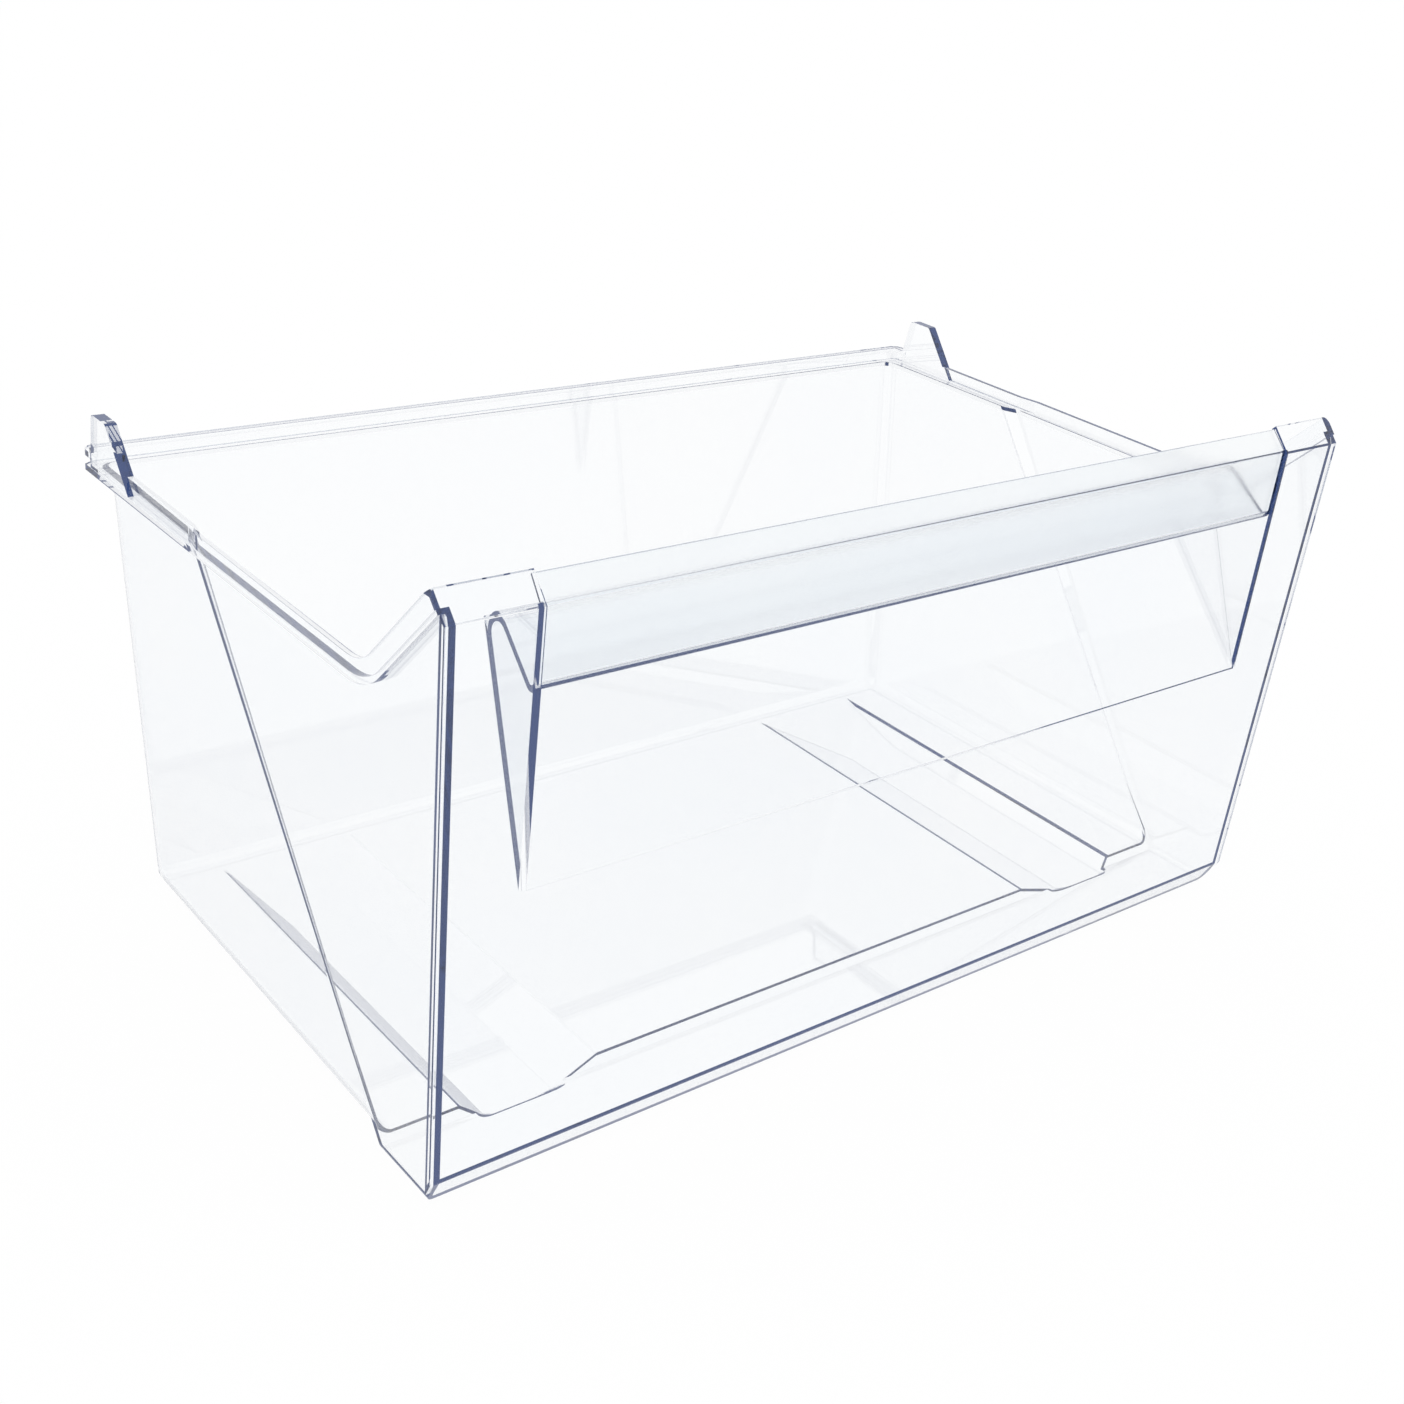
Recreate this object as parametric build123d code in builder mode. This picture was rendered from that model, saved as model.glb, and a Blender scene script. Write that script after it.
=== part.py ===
from build123d import *
import os
from math import atan, cos, degrees, radians, sin, tan

# Clear freezer drawer with a folded finger pull, moulded in one piece
# Millimetres. X runs across the width, Y from the front to the back, Z up from the surface it stands on
# It is drawn with its front face at Y = 0 and centred over its own base at the end

# Body
wall = 2.4  # thickness of the whole moulding
foot_half_width = 215.2  # front part of a side wall, where it would meet the ground
side_draft = 1.38  # degrees that the side walls open upwards
rear_inset = 1.2  # how far the side walls step inwards behind the diagonal step, at its foot
rear_taper = 1.0  # degrees that the rear walls close towards the back
crease_foot = 34.2  # front edge of the diagonal step on the ground, from the front face
crease_lean = 37.4  # degrees that the diagonal step leans back from upright
crease_angle = 35.0  # degrees that the slope of that step turns from the wall
well_back = 36.0  # back of the front well on the ground, from the front face
well_lean = 41.0  # degrees that the back of the front well leans from upright
rear_start = 20.0  # front end of the raised rear body, hidden inside the front part
back_foot = 234.0  # back wall on the ground, from the front face
back_lean = 8.8  # degrees that the back wall leans out
floor_rise = 4.7  # underside of the rear floor above the ground
well_rise = 1.2  # underside of the front well above the ground
corner_round = 7.0  # outside radius of the rear lower edges and the back corners
well_round = 3.6  # outside radius of the lower edges of the front well

# Front
toe_depth = 6.0  # slope at the foot of the front, measured back
toe_height = 13.2  # the same slope, measured up
bend_height = 221.5  # where the front bends back at its top
bevel_depth = 8.4  # top slope, measured back
bevel_rise = 9.1  # top slope, measured up
edge_width = 2.3  # how far the front stands out past the side walls
edge_depth = 2.8  # thickness of that edge
edge_round = 0.6  # its radius at the front
toe_round = 3.0  # radius where the front turns into the slope at its foot
lug_width = 28.2  # plain part of the front beside the pull, at the ground
lug_round = 3.0  # radius of its upper outer corner, seen from the front

# Rim
rim_height = 189.4  # level top of the rim
upstand = 6.0  # height of the rim above its ledge
rim_step = 3.0  # ledge at the sides of the front part
rear_step = 3.4  # ledge at the sides of the rear part, at its front end
rim_taper = 0.5  # degrees that the rim of the rear part closes towards the back
back_step = 1.4  # ledge at the back
jog = 174.0  # back end of the bend where the rim steps inwards, from the front face
jog_length = 10.0  # length of that bend
ramp_angle = 46.5  # degrees of the ramp up to the front
ramp_round = 20.0  # radius between the level rim and the ramp
tip_width = 5.0  # pointed back end of the flange outside the ledge, measured across
tip_length = 3.0  # the same, measured along
tip_setback = 1.0  # that point in front of the back of the drawer
lip_overhang = 1.3  # turned-out top of the back rim, past the upstand
lip_depth = 9.5  # the same from front to back, at the corners
lip_round = 5.0  # plan radius of its corners

# Stops on the rim
stop_setback = 8.5  # foot of a stop in front of the back of the drawer
stop_fall = 3.5  # its back slope, measured along
stop_length = 13.0  # its top, measured along
stop_climb = 19.0  # its front slope, measured along
stop_rise = 16.6  # its top above the rim
stop_round = 2.0
stop_thickness = 4.8

# Finger pull
pull_draft = 5.0  # degrees that the pull narrows towards the back
pull_drop = 100.0  # where the panel leaves the front face, below the bend of the front
panel_reach = 37.6  # sharp corner of the fold behind the front face
fold_drop = 6.0  # the same corner below the bend
strip_height = 34.3  # strip from the bend down to the sharp corner of the lip
strip_setback = 1.2  # strip behind the front face
strip_drop = 1.3  # strip top below the top of the front
foot_round = 2.0
fold_round = 4.8
lip_bead = 4.0
bend_round = 1.5
root = 8.0  # upright start of the panel below its bend

# Skid grooves in the floor
skid_margin = 32.0  # outer edge of a groove inside the front end of the rear side wall
skid_outer_slope = 8.0  # outer flank, measured across
skid_bottom = 31.0  # flat bottom, measured across
skid_inner_slope = 22.6  # inner flank, measured across
skid_front = 34.0  # front end of the bottom of a groove
skid_round = 6.0  # plan radius of its front corners
skid_climb = 47.0  # length over which the bottom climbs to the floor at the back
skid_setback = 9.0  # back end of a groove in front of the back wall

top_height = bend_height + bevel_rise
ledge_height = rim_height - upstand
rear_half_width = foot_half_width - rear_inset
flange_half_width = foot_half_width + rim_step + ledge_height * tan(radians(side_draft))
pull_half_width = foot_half_width - lug_width
pull_foot = bend_height - pull_drop
fold_height = bend_height - fold_drop
lip_corner = bend_height - strip_height


def well_back_at(height):
    return well_back + height * tan(radians(well_lean))


def back_at(height):
    return back_foot + height * tan(radians(back_lean))


def bevel_at(height):
    return (height - bend_height) * bevel_depth / bevel_rise


lip_back = back_at(rim_height) + back_step + lip_overhang
flange_tip = lip_back - tip_setback - tip_length

# Stock that reaches past the part in every direction
stock_half_width = 1.5 * foot_half_width
stock_height = 1.5 * top_height
stock_depth = 1.5 * lip_back


def side_view(*points):
    """Closed outline seen from the side."""
    with BuildSketch(Plane.YZ) as view:
        with BuildLine():
            Polyline(*points, close=True)
        make_face()
    return view.sketch


def stretch(front, back):
    """Everything between two distances from the front face."""
    return side_view((front, 0), (back, 0), (back, stock_height), (front, stock_height))


def front_view(inset):
    """Front part of the body, up to the back of the front well, drawn taller than it is."""
    outline = side_view(
        (toe_depth, well_rise),
        (0, toe_height),
        (0, bend_height),
        (bevel_at(stock_height), stock_height),
        (well_back_at(stock_height), stock_height),
        (well_back_at(well_rise), well_rise),
    )
    if inset > 0:
        outline = offset(outline, amount=-inset, kind=Kind.INTERSECTION)
    return outline


def rear_view(inset, step):
    """Rear part of the body, drawn taller than it is; step moves the back wall out."""
    floor = floor_rise + inset
    return side_view(
        (rear_start + inset, floor),
        (back_at(floor) + step - inset, floor),
        (back_at(stock_height) + step - inset, stock_height),
        (rear_start + inset, stock_height),
    )


def above_rim(depth):
    """Everything above a line this far below the rim."""
    half_turn = radians(ramp_angle) / 2
    ramp_foot = bevel_depth + (top_height - rim_height) / tan(radians(ramp_angle))
    level = rim_height - depth
    corner = (ramp_foot - depth * tan(half_turn), level)
    climb = stock_height - level
    peak = (corner[0] - climb / tan(radians(ramp_angle)), stock_height)
    with BuildSketch(Plane.YZ) as view:
        with BuildLine():
            line = FilletPolyline((stock_depth, level), corner, peak, radius=ramp_round + depth)
            Polyline(line @ 1, (stock_depth, stock_height), line @ 0)
        make_face()
    return view.sketch


def side_plane(side, half_width, taper, start=well_back):
    """Drafted plane of one side wall, which closes towards the back from its start."""
    return Plane(
        origin=(side * half_width, start, 0),
        z_dir=(side, tan(radians(taper)), -tan(radians(side_draft))),
    )


def crease_plane(side):
    """Slope of the diagonal step in one side wall."""
    turn = tan(radians(crease_angle))
    return Plane(
        origin=(side * foot_half_width, crease_foot, 0),
        z_dir=(
            side,
            turn * cos(radians(crease_lean)),
            -turn * sin(radians(crease_lean)) - tan(radians(side_draft)),
        ),
    )


def between_sides(view, half_width, taper):
    """Solid with this side view between the two drafted side planes."""
    with BuildPart() as made:
        extrude(view, amount=stock_half_width, both=True)
        for side in (1, -1):
            split(bisect_by=side_plane(side, half_width, taper), keep=Keep.BOTTOM)
    return made.part


def bent_in(solid, half_width):
    """Front part of the rim, bent inwards to meet the rear part."""
    rear_narrowing = (jog - well_back) * tan(radians(rim_taper))
    bend = degrees(atan((rim_step + rear_inset - rear_step + rear_narrowing) / jog_length))
    with BuildPart() as made:
        add(solid)
        for side in (1, -1):
            split(bisect_by=side_plane(side, half_width, bend, jog - jog_length), keep=Keep.BOTTOM)
    return made.part


def toe_edge(edge):
    """Whether this is the edge across the front at the top of its sloping foot."""
    return abs(edge.center().Z - toe_height) < 1 and edge.bounding_box().size.X > pull_half_width


def front_body(inset):
    with BuildPart() as made:
        add(between_sides(front_view(inset), foot_half_width - inset, 0))
        low_edges = made.edges().filter_by(GeomType.LINE).filter_by(
            lambda edge: edge.bounding_box().max.Z < well_rise + inset + 1
            and abs(edge.center().X) > pull_half_width
        )
        fillet(low_edges, radius=well_round - inset)
        for side in (1, -1):
            split(bisect_by=crease_plane(side).offset(-inset), keep=Keep.BOTTOM)
        if inset == 0:
            fillet(made.edges().filter_by(toe_edge), radius=toe_round)
    return made.part


def front_edge():
    """The front where it stands out past the side walls."""
    with BuildPart() as made:
        add(between_sides(front_view(0) & stretch(0, edge_depth), foot_half_width + edge_width, 0))
        fillet(made.edges().filter_by(toe_edge), radius=toe_round)
        ends = made.edges().filter_by(
            lambda edge: edge.bounding_box().min.Y < edge_depth / 2
            and abs(edge.center().X) > pull_half_width
        )
        fillet(ends, radius=edge_round)
    return made.part


def rear_body(inset):
    with BuildPart() as made:
        add(between_sides(rear_view(inset, 0), rear_half_width - inset, rear_taper))
        low_edges = made.edges().filter_by(
            lambda edge: edge.bounding_box().max.Z < floor_rise + inset + 1
            and edge.center().Y > well_back
        )
        back_edges = made.edges().filter_by(
            lambda edge: edge.center().Y > back_foot and abs(edge.center().X) > pull_half_width
            and edge.bounding_box().size.Z > upstand
        )
        fillet(low_edges + back_edges, radius=corner_round - inset)
    return made.part


def skid(side, drop):
    """Groove in the floor, or the runner that it makes below when it is dropped by the wall."""
    top = floor_rise + wall - drop
    bottom = wall - drop
    outer = rear_half_width - skid_margin
    middle = outer - skid_outer_slope - skid_bottom
    end = back_foot - skid_setback
    with BuildPart() as made:
        with BuildSketch(Plane.XZ):
            with BuildLine():
                Polyline(
                    (side * (middle - skid_inner_slope), top),
                    (side * middle, bottom),
                    (side * (middle + skid_bottom), bottom),
                    (side * outer, top),
                    close=True,
                )
            make_face()
        extrude(amount=stock_depth, both=True)
        extrude(
            side_view(
                (skid_front, bottom),
                (end - skid_climb, bottom),
                (end, top),
                (skid_front - top + bottom, top),
            ),
            amount=stock_half_width,
            both=True,
            mode=Mode.INTERSECT,
        )
        front_corners = made.faces().sort_by(Axis.Y)[0].edges().filter_by(
            lambda edge: edge.bounding_box().size.Z > well_rise
        )
        fillet(front_corners, radius=skid_round)
    return made.part


def pull_plan(half_width):
    """The pull seen from above, narrower towards the back."""
    narrow = half_width - stock_depth * tan(radians(pull_draft))
    with BuildSketch() as plan:
        with BuildLine():
            Polyline(
                (-half_width, 0), (half_width, 0), (narrow, stock_depth), (-narrow, stock_depth), close=True
            )
        make_face()
    return plan.sketch


def stops(inset):
    """Both stops, filled across the drawer."""
    half_width = rear_half_width + rear_step - wall + stop_thickness - inset
    top = rim_height + stop_rise
    foot_back = (lip_back - stop_setback, ledge_height)
    top_back = (foot_back[0] - stop_fall, top)
    top_front = (top_back[0] - stop_length, top)
    foot_front = (top_front[0] - stop_climb, ledge_height)
    with BuildSketch(Plane.YZ) as view:
        with BuildLine():
            FilletPolyline(foot_front, top_front, top_back, foot_back, radius=[stop_round, stop_round])
            Line(foot_back, foot_front)
        make_face()
    return between_sides(view.sketch, half_width, rim_taper)


# Rim seen from the side: the band of the upstand and its ledge, and the hollow above the ledge
band = above_rim(upstand + wall) - above_rim(0)
ledge = above_rim(upstand + wall) - above_rim(upstand)
rim_half_width = foot_half_width + rim_step
rim_front = bent_in(
    between_sides(band & front_view(0) & stretch(edge_depth, jog + wall), rim_half_width, 0), rim_half_width
)
rim_rear = between_sides(band & rear_view(0, back_step), rear_half_width + rear_step, rim_taper)
hollow_front = bent_in(
    between_sides(above_rim(upstand) & front_view(wall) & stretch(wall, jog), rim_half_width - wall, 0),
    rim_half_width - wall,
)
hollow_rear = between_sides(
    above_rim(upstand) & rear_view(wall, back_step), rear_half_width + rear_step - wall, rim_taper
)

# Straight flange outside the ledge, pointed at its back end
behind_bevel = side_view(
    (0, 0),
    (0, bend_height),
    (bevel_at(stock_height), stock_height),
    (stock_depth, stock_height),
    (stock_depth, 0),
)
with BuildPart() as flange:
    extrude(ledge & behind_bevel & stretch(edge_depth, stock_depth), amount=stock_half_width, both=True)
    with BuildSketch():
        with BuildLine():
            Polyline(
                (flange_half_width, 0),
                (flange_half_width, flange_tip),
                (flange_half_width - tip_width, flange_tip + tip_length),
                (tip_width - flange_half_width, flange_tip + tip_length),
                (-flange_half_width, flange_tip),
                (-flange_half_width, 0),
                close=True,
            )
        make_face()
    extrude(amount=stock_height, mode=Mode.INTERSECT)

# Turned-out top of the back rim
with BuildPart() as back_lip:
    with BuildSketch(Plane.XY.offset(rim_height - wall)) as plan:
        with BuildLine():
            Polyline(
                (-flange_half_width, lip_back - lip_depth),
                (flange_half_width, lip_back - lip_depth),
                (flange_half_width, lip_back),
                (-flange_half_width, lip_back),
                close=True,
            )
        make_face()
        fillet(plan.vertices().group_by(Axis.Y)[-1], radius=lip_round)
    extrude(amount=wall)

# What is cut away to round the upper outer corners of the front
lug_half_width = rim_half_width + top_height * tan(radians(side_draft))
with BuildPart() as lug_corners:
    with BuildSketch(Plane.XZ):
        for side in (1, -1):
            with Locations((side * lug_half_width, top_height)):
                Rectangle(2 * lug_round, 2 * lug_round)
            with Locations((side * (lug_half_width - lug_round), top_height - lug_round)):
                Circle(lug_round, mode=Mode.SUBTRACT)
    extrude(amount=stock_depth, both=True)

# Folded sheet of the pull: panel, fold, slab, lip and strip
strip_top = top_height - strip_drop
with BuildPart() as pull:
    with BuildSketch(Plane.YZ):
        with BuildLine():
            FilletPolyline(
                (0, pull_foot - root),
                (0, pull_foot),
                (panel_reach, fold_height),
                (strip_setback, lip_corner),
                (strip_setback, bend_height),
                (strip_setback + bevel_at(strip_top), strip_top),
                radius=[foot_round, fold_round, lip_bead, bend_round],
            )
            offset(amount=wall, side=Side.RIGHT)
        make_face()
    extrude(amount=stock_half_width, both=True)
    extrude(pull_plan(pull_half_width + wall / 2), amount=stock_height, mode=Mode.INTERSECT)

# Gussets that close the ends of the pull
panel_lean = panel_reach / (fold_height - pull_foot)
gusset_back = fold_height - 2 * fold_round - wall
with BuildPart() as gussets:
    with BuildSketch(Plane.YZ):
        with BuildLine():
            Polyline(
                (0, pull_foot - root),
                (wall, pull_foot),
                (wall + (gusset_back - pull_foot) * panel_lean, gusset_back),
                (wall, bend_height),
                (0, bend_height),
                close=True,
            )
        make_face()
    extrude(amount=stock_half_width, both=True)
    extrude(pull_plan(pull_half_width + wall), amount=stock_height, mode=Mode.INTERSECT)
    extrude(pull_plan(pull_half_width), amount=stock_height, mode=Mode.SUBTRACT)

# The solids that are added and taken away to make the moulding
bodies = [front_body(0), front_edge(), rear_body(0)]
runners = [skid(1, wall), skid(-1, wall)]
insides = [front_body(wall), rear_body(wall), hollow_front, hollow_rear]
grooves = [skid(1, 0), skid(-1, 0)]
stop_tabs = stops(0) - stops(stop_thickness)
open_top = above_rim(0)
pull_window = side_view(
    (0, pull_foot), (panel_reach, pull_foot), (panel_reach, stock_height), (0, stock_height)
)

# The whole moulding
with BuildPart() as drawer:
    add(bodies)
    extrude(open_top, amount=stock_half_width, both=True, mode=Mode.SUBTRACT)
    add(runners)
    add([rim_front, rim_rear, flange.part, back_lip.part])
    add(lug_corners.part, mode=Mode.SUBTRACT)
    add(insides, mode=Mode.SUBTRACT)
    add(grooves, mode=Mode.SUBTRACT)
    add(stop_tabs)
    extrude(pull_window, amount=pull_half_width, both=True, mode=Mode.SUBTRACT)
    add(pull.part)
    add(gussets.part)

base = drawer.part.bounding_box().center()
moulding = drawer.part.moved(Location((0, -base.Y, 0)))
moulding.label = "drawer"
os.makedirs("parts", exist_ok=True)
export_step(moulding, "parts/drawer.step")
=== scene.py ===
import math

import bmesh
import bpy
from mathutils import Matrix, Vector


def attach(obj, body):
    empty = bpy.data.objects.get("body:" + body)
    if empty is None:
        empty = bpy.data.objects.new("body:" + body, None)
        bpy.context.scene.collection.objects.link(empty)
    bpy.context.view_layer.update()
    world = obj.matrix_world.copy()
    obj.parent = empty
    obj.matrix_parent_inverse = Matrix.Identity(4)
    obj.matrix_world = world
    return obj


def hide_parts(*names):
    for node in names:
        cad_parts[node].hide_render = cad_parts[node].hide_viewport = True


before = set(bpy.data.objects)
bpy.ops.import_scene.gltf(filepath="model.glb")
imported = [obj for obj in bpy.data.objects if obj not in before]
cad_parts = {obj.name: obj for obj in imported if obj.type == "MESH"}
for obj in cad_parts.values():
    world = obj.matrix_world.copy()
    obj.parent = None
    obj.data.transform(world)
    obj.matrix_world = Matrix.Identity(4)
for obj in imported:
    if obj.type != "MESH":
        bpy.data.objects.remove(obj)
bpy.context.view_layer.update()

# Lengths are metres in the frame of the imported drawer: X across, Y from front to back, Z up
WELD = 0.00002  # points of the moulding that are one point
FLAT = math.radians(0.3)  # faces that lie in one plane
CRISP = math.radians(10.5)  # edges that turn more than this are creases, the rest are facets of a round
BROAD_LEAD = 2  # power of a face's area that makes broad faces lead the shading of the rounds beside them

# Clear polystyrene
BEND_OF_LIGHT = 1.57  # its index of refraction
CLOUD_DETAIL = 2.0
FLOW_SCALE = 9.0  # slow drift of the tint
DEEP_TINT = (0.976, 0.988, 1.000, 1.0)
DEEP_TO = 0.3
PALE_TINT = (0.988, 0.995, 1.000, 1.0)
PALE_FROM = 0.7
HAZE_SCALE = 40.0  # fine drift of the polish
POLISHED = 0.005
HAZY = 0.03

# Frosted strip and top slope of the finger pull
FROST_HALF_WIDTH = 0.1868
FROST_BACK = -0.1284  # just behind the strip
FROST_FOOT = 0.1880
BEND_HEIGHT = 0.2215  # where the strip turns into the top slope
TOP_SLOPE = 0.923  # run of the top slope for each unit of its rise
FROST_TINT = (0.968, 0.988, 1.000, 1.0)
FROST_ROUGHNESS = 0.11

# The studio is white for straight light and dark blue for light that was reflected to and fro in an edge:
# painted shade that makes the edges of the plastic come out dark blue
STRAIGHT_TURNS = 1.0  # reflections that leave it white
EDGE_TURNS = 2.0  # reflections that leave it as blue as it gets
# painted shade: the dark blue that darkens the edges of the plastic, given to light that was reflected
# inside it
PAINTED_EDGE_SHADE_BLUE = (0.045, 0.075, 0.200)
ALL_TURNS = 160  # where a path of light ends
EDGE_TURNS_LIMIT = 156  # so many of them may be reflections

FLOOR_SIZE = 60.0
FLOOR_DROP = 0.0002  # gap that keeps the skids clear of the floor
SHADOW_PART = 0.025  # part of the floor's white that the shadow takes away

# Where the picture is taken from
VIEWPOINT = Vector((-0.4900, -0.5482, 0.4454))
BEARING = math.radians(-41.60)
LOOK_DOWN = math.radians(25.99)
TILT = math.radians(6.72)
LENS = 47.99
SENSOR = 36.0
NEAREST = 0.01
FARTHEST = 200.0


def smooth_copy(node, name):
    """Welded copy of the moulding, with smooth rounds, flat faces and crisp creases."""
    shape = bmesh.new()
    shape.from_mesh(node.data)
    bmesh.ops.remove_doubles(shape, verts=shape.verts, dist=WELD)
    bmesh.ops.dissolve_limit(shape, angle_limit=FLAT, verts=shape.verts, edges=shape.edges)
    normals = []
    for face in shape.faces:
        face.smooth = True
        for corner in face.loops:
            shading = Vector()
            for near in corner.vert.link_faces:
                if near.normal.angle(face.normal, math.pi) < CRISP:
                    shading += near.normal * near.calc_area() ** BROAD_LEAD
            normals.append(shading.normalized())
    mesh = bpy.data.meshes.new(name)
    shape.to_mesh(mesh)
    shape.free()
    mesh.normals_split_custom_set(normals)
    piece = bpy.data.objects.new(name, mesh)
    bpy.context.scene.collection.objects.link(piece)
    return piece


def new_material(name):
    """Material with no nodes yet, and its nodes and links."""
    material = bpy.data.materials.new(name)
    material.use_nodes = True
    material.node_tree.nodes.clear()
    return material, material.node_tree.nodes, material.node_tree.links


def sum_of(nodes, links, operation, *terms):
    """Result of a sum whose terms are sockets or plain numbers."""
    node = nodes.new("ShaderNodeMath")
    node.operation = operation
    for socket, term in zip(node.inputs, terms):
        if isinstance(term, float):
            socket.default_value = term
        else:
            links.new(term, socket)
    return node.outputs["Value"]


def cloud(nodes, links, place, scale):
    """Soft cloudy pattern through the whole moulding."""
    noise = nodes.new("ShaderNodeTexNoise")
    noise.inputs["Scale"].default_value = scale
    noise.inputs["Detail"].default_value = CLOUD_DETAIL
    links.new(place.outputs["Object"], noise.inputs["Vector"])
    return noise.outputs["Fac"]


def frosted_zone(nodes, links, place):
    """One on the strip and the top slope of the pull, nought on the rest of the drawer."""
    axes = nodes.new("ShaderNodeSeparateXYZ")
    links.new(place.outputs["Object"], axes.inputs["Vector"])
    across = sum_of(nodes, links, "ABSOLUTE", axes.outputs["X"])
    rise = sum_of(nodes, links, "SUBTRACT", axes.outputs["Z"], BEND_HEIGHT)
    above_bend = sum_of(nodes, links, "MAXIMUM", rise, 0.0)
    depth = sum_of(nodes, links, "MULTIPLY_ADD", above_bend, -TOP_SLOPE, axes.outputs["Y"])
    between_ends = sum_of(nodes, links, "LESS_THAN", across, FROST_HALF_WIDTH)
    in_front = sum_of(nodes, links, "LESS_THAN", depth, FROST_BACK)
    above_lip = sum_of(nodes, links, "GREATER_THAN", axes.outputs["Z"], FROST_FOOT)
    front_face = sum_of(nodes, links, "MULTIPLY", between_ends, in_front)
    return sum_of(nodes, links, "MULTIPLY", front_face, above_lip)


def clear_plastic():
    """Clear polystyrene with a faint blue tint, polished by the mould and frosted along the pull."""
    material, nodes, links = new_material("clear_plastic")
    output = nodes.new("ShaderNodeOutputMaterial")
    shader = nodes.new("ShaderNodeBsdfPrincipled")
    shader.inputs["Transmission Weight"].default_value = 1.0
    shader.inputs["IOR"].default_value = BEND_OF_LIGHT
    links.new(shader.outputs["BSDF"], output.inputs["Surface"])
    place = nodes.new("ShaderNodeTexCoord")
    frost = frosted_zone(nodes, links, place)

    tint = nodes.new("ShaderNodeValToRGB")
    deep, pale = tint.color_ramp.elements
    deep.position = DEEP_TO
    deep.color = DEEP_TINT
    pale.position = PALE_FROM
    pale.color = PALE_TINT
    links.new(cloud(nodes, links, place, FLOW_SCALE), tint.inputs["Fac"])
    frosted_tint = nodes.new("ShaderNodeMix")
    frosted_tint.data_type = "RGBA"
    frosted_tint.inputs["B"].default_value = FROST_TINT
    links.new(frost, frosted_tint.inputs["Factor"])
    links.new(tint.outputs["Color"], frosted_tint.inputs["A"])
    links.new(frosted_tint.outputs["Result"], shader.inputs["Base Color"])

    polish = nodes.new("ShaderNodeMapRange")
    polish.inputs["To Min"].default_value = POLISHED
    polish.inputs["To Max"].default_value = HAZY
    links.new(cloud(nodes, links, place, HAZE_SCALE), polish.inputs["Value"])
    roughness = sum_of(nodes, links, "MULTIPLY_ADD", frost, FROST_ROUGHNESS, polish.outputs["Result"])
    links.new(roughness, shader.inputs["Roughness"])
    return material


def studio_white_and_painted_edge_shade(nodes, links, level):
    """White of the studio at this level, and painted dark blue edge shade for light that ran inside the
    plastic.
    """
    path = nodes.new("ShaderNodeLightPath")
    turns = nodes.new("ShaderNodeMapRange")
    turns.inputs["From Min"].default_value = STRAIGHT_TURNS
    turns.inputs["From Max"].default_value = EDGE_TURNS
    links.new(path.outputs["Glossy Depth"], turns.inputs["Value"])
    colour = nodes.new("ShaderNodeValToRGB")
    # painted shade: after a few reflections the studio turns dark blue, so the edges of the plastic come out
    # dark
    straight, edge = colour.color_ramp.elements
    straight.color = (level, level, level, 1.0)
    edge.color = (*(level * part for part in PAINTED_EDGE_SHADE_BLUE), 1.0)
    links.new(turns.outputs["Result"], colour.inputs["Fac"])
    return colour.outputs["Color"]


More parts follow.
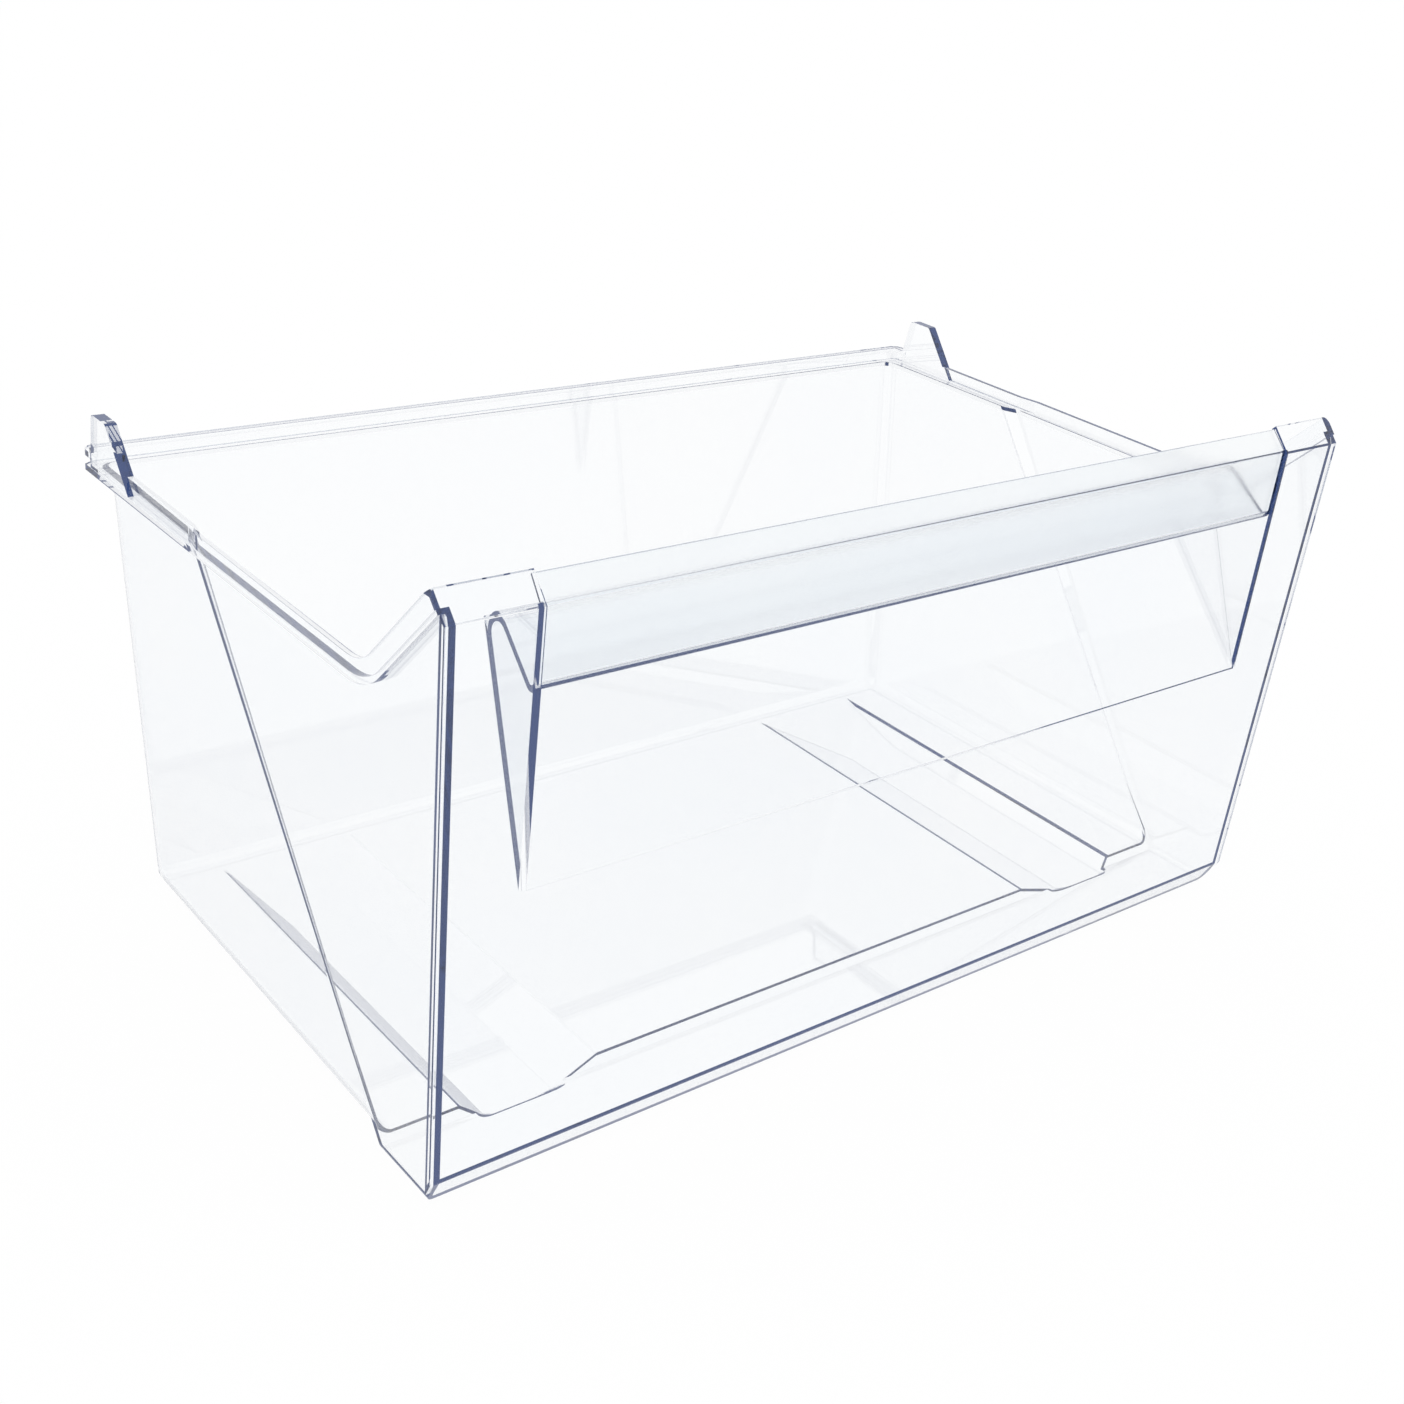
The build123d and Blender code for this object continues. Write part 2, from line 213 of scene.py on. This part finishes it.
def white_floor():
    """Plain white floor that keeps the shadow, is clear from below, and gives painted dark blue edge shade
    to light that ran inside the plastic.
    """
    shape = bmesh.new()
    bmesh.ops.create_grid(shape, x_segments=1, y_segments=1, size=FLOOR_SIZE / 2)
    mesh = bpy.data.meshes.new("floor")
    shape.to_mesh(mesh)
    shape.free()
    floor = bpy.data.objects.new("floor", mesh)
    bpy.context.scene.collection.objects.link(floor)
    floor.location.z = -FLOOR_DROP

    material, nodes, links = new_material("white_floor")
    output = nodes.new("ShaderNodeOutputMaterial")
    matt = nodes.new("ShaderNodeBsdfDiffuse")
    links.new(studio_white_and_painted_edge_shade(nodes, links, SHADOW_PART), matt.inputs["Color"])
    glow = nodes.new("ShaderNodeEmission")
    links.new(studio_white_and_painted_edge_shade(nodes, links, 1.0 - SHADOW_PART), glow.inputs["Color"])
    path = nodes.new("ShaderNodeLightPath").outputs
    mirrored = sum_of(nodes, links, "MAXIMUM", path["Is Camera Ray"], path["Is Glossy Ray"])
    seen = sum_of(nodes, links, "MAXIMUM", mirrored, path["Is Transmission Ray"])
    links.new(seen, glow.inputs["Strength"])
    both = nodes.new("ShaderNodeAddShader")
    links.new(matt.outputs["BSDF"], both.inputs[0])
    links.new(glow.outputs["Emission"], both.inputs[1])
    side = nodes.new("ShaderNodeNewGeometry")
    clear = nodes.new("ShaderNodeBsdfTransparent")
    pick = nodes.new("ShaderNodeMixShader")
    links.new(side.outputs["Backfacing"], pick.inputs["Fac"])
    links.new(both.outputs["Shader"], pick.inputs[1])
    links.new(clear.outputs["BSDF"], pick.inputs[2])
    links.new(pick.outputs["Shader"], output.inputs["Surface"])
    material.cycles.emission_sampling = "NONE"
    mesh.materials.append(material)


def light_tent():
    """Even white all round, with painted dark blue edge shade for light that ran inside the plastic."""
    world = bpy.data.worlds.new("light_tent")
    bpy.context.scene.world = world
    world.use_nodes = True
    world.cycles.sampling_method = "NONE"
    nodes = world.node_tree.nodes
    links = world.node_tree.links
    nodes.clear()
    output = nodes.new("ShaderNodeOutputWorld")
    tent = nodes.new("ShaderNodeBackground")
    links.new(studio_white_and_painted_edge_shade(nodes, links, 1.0), tent.inputs["Color"])
    links.new(tent.outputs["Background"], output.inputs["Surface"])


def photo_camera():
    """Camera at the viewpoint, turned to the bearing, looking down and tilted a little to one side."""
    back = Vector((
        math.sin(BEARING) * math.cos(LOOK_DOWN),
        -math.cos(BEARING) * math.cos(LOOK_DOWN),
        math.sin(LOOK_DOWN),
    ))
    level_right = Vector((0.0, 0.0, 1.0)).cross(back).normalized()
    level_up = back.cross(level_right)
    right = math.cos(TILT) * level_right + math.sin(TILT) * level_up
    up = math.cos(TILT) * level_up - math.sin(TILT) * level_right
    camera = bpy.data.objects.new("camera", bpy.data.cameras.new("camera"))
    camera.data.lens = LENS
    camera.data.sensor_width = SENSOR
    camera.data.clip_start = NEAREST
    camera.data.clip_end = FARTHEST
    camera.matrix_world = Matrix.Translation(VIEWPOINT) @ Matrix((right, up, back)).transposed().to_4x4()
    bpy.context.scene.collection.objects.link(camera)
    bpy.context.scene.camera = camera


drawer = smooth_copy(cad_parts["drawer"], "clear_drawer")
drawer.data.materials.append(clear_plastic())
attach(drawer, "root")
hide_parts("drawer")

white_floor()
light_tent()
photo_camera()
bpy.context.scene.cycles.max_bounces = ALL_TURNS
bpy.context.scene.cycles.glossy_bounces = EDGE_TURNS_LIMIT
bpy.context.scene.view_settings.view_transform = "Standard"
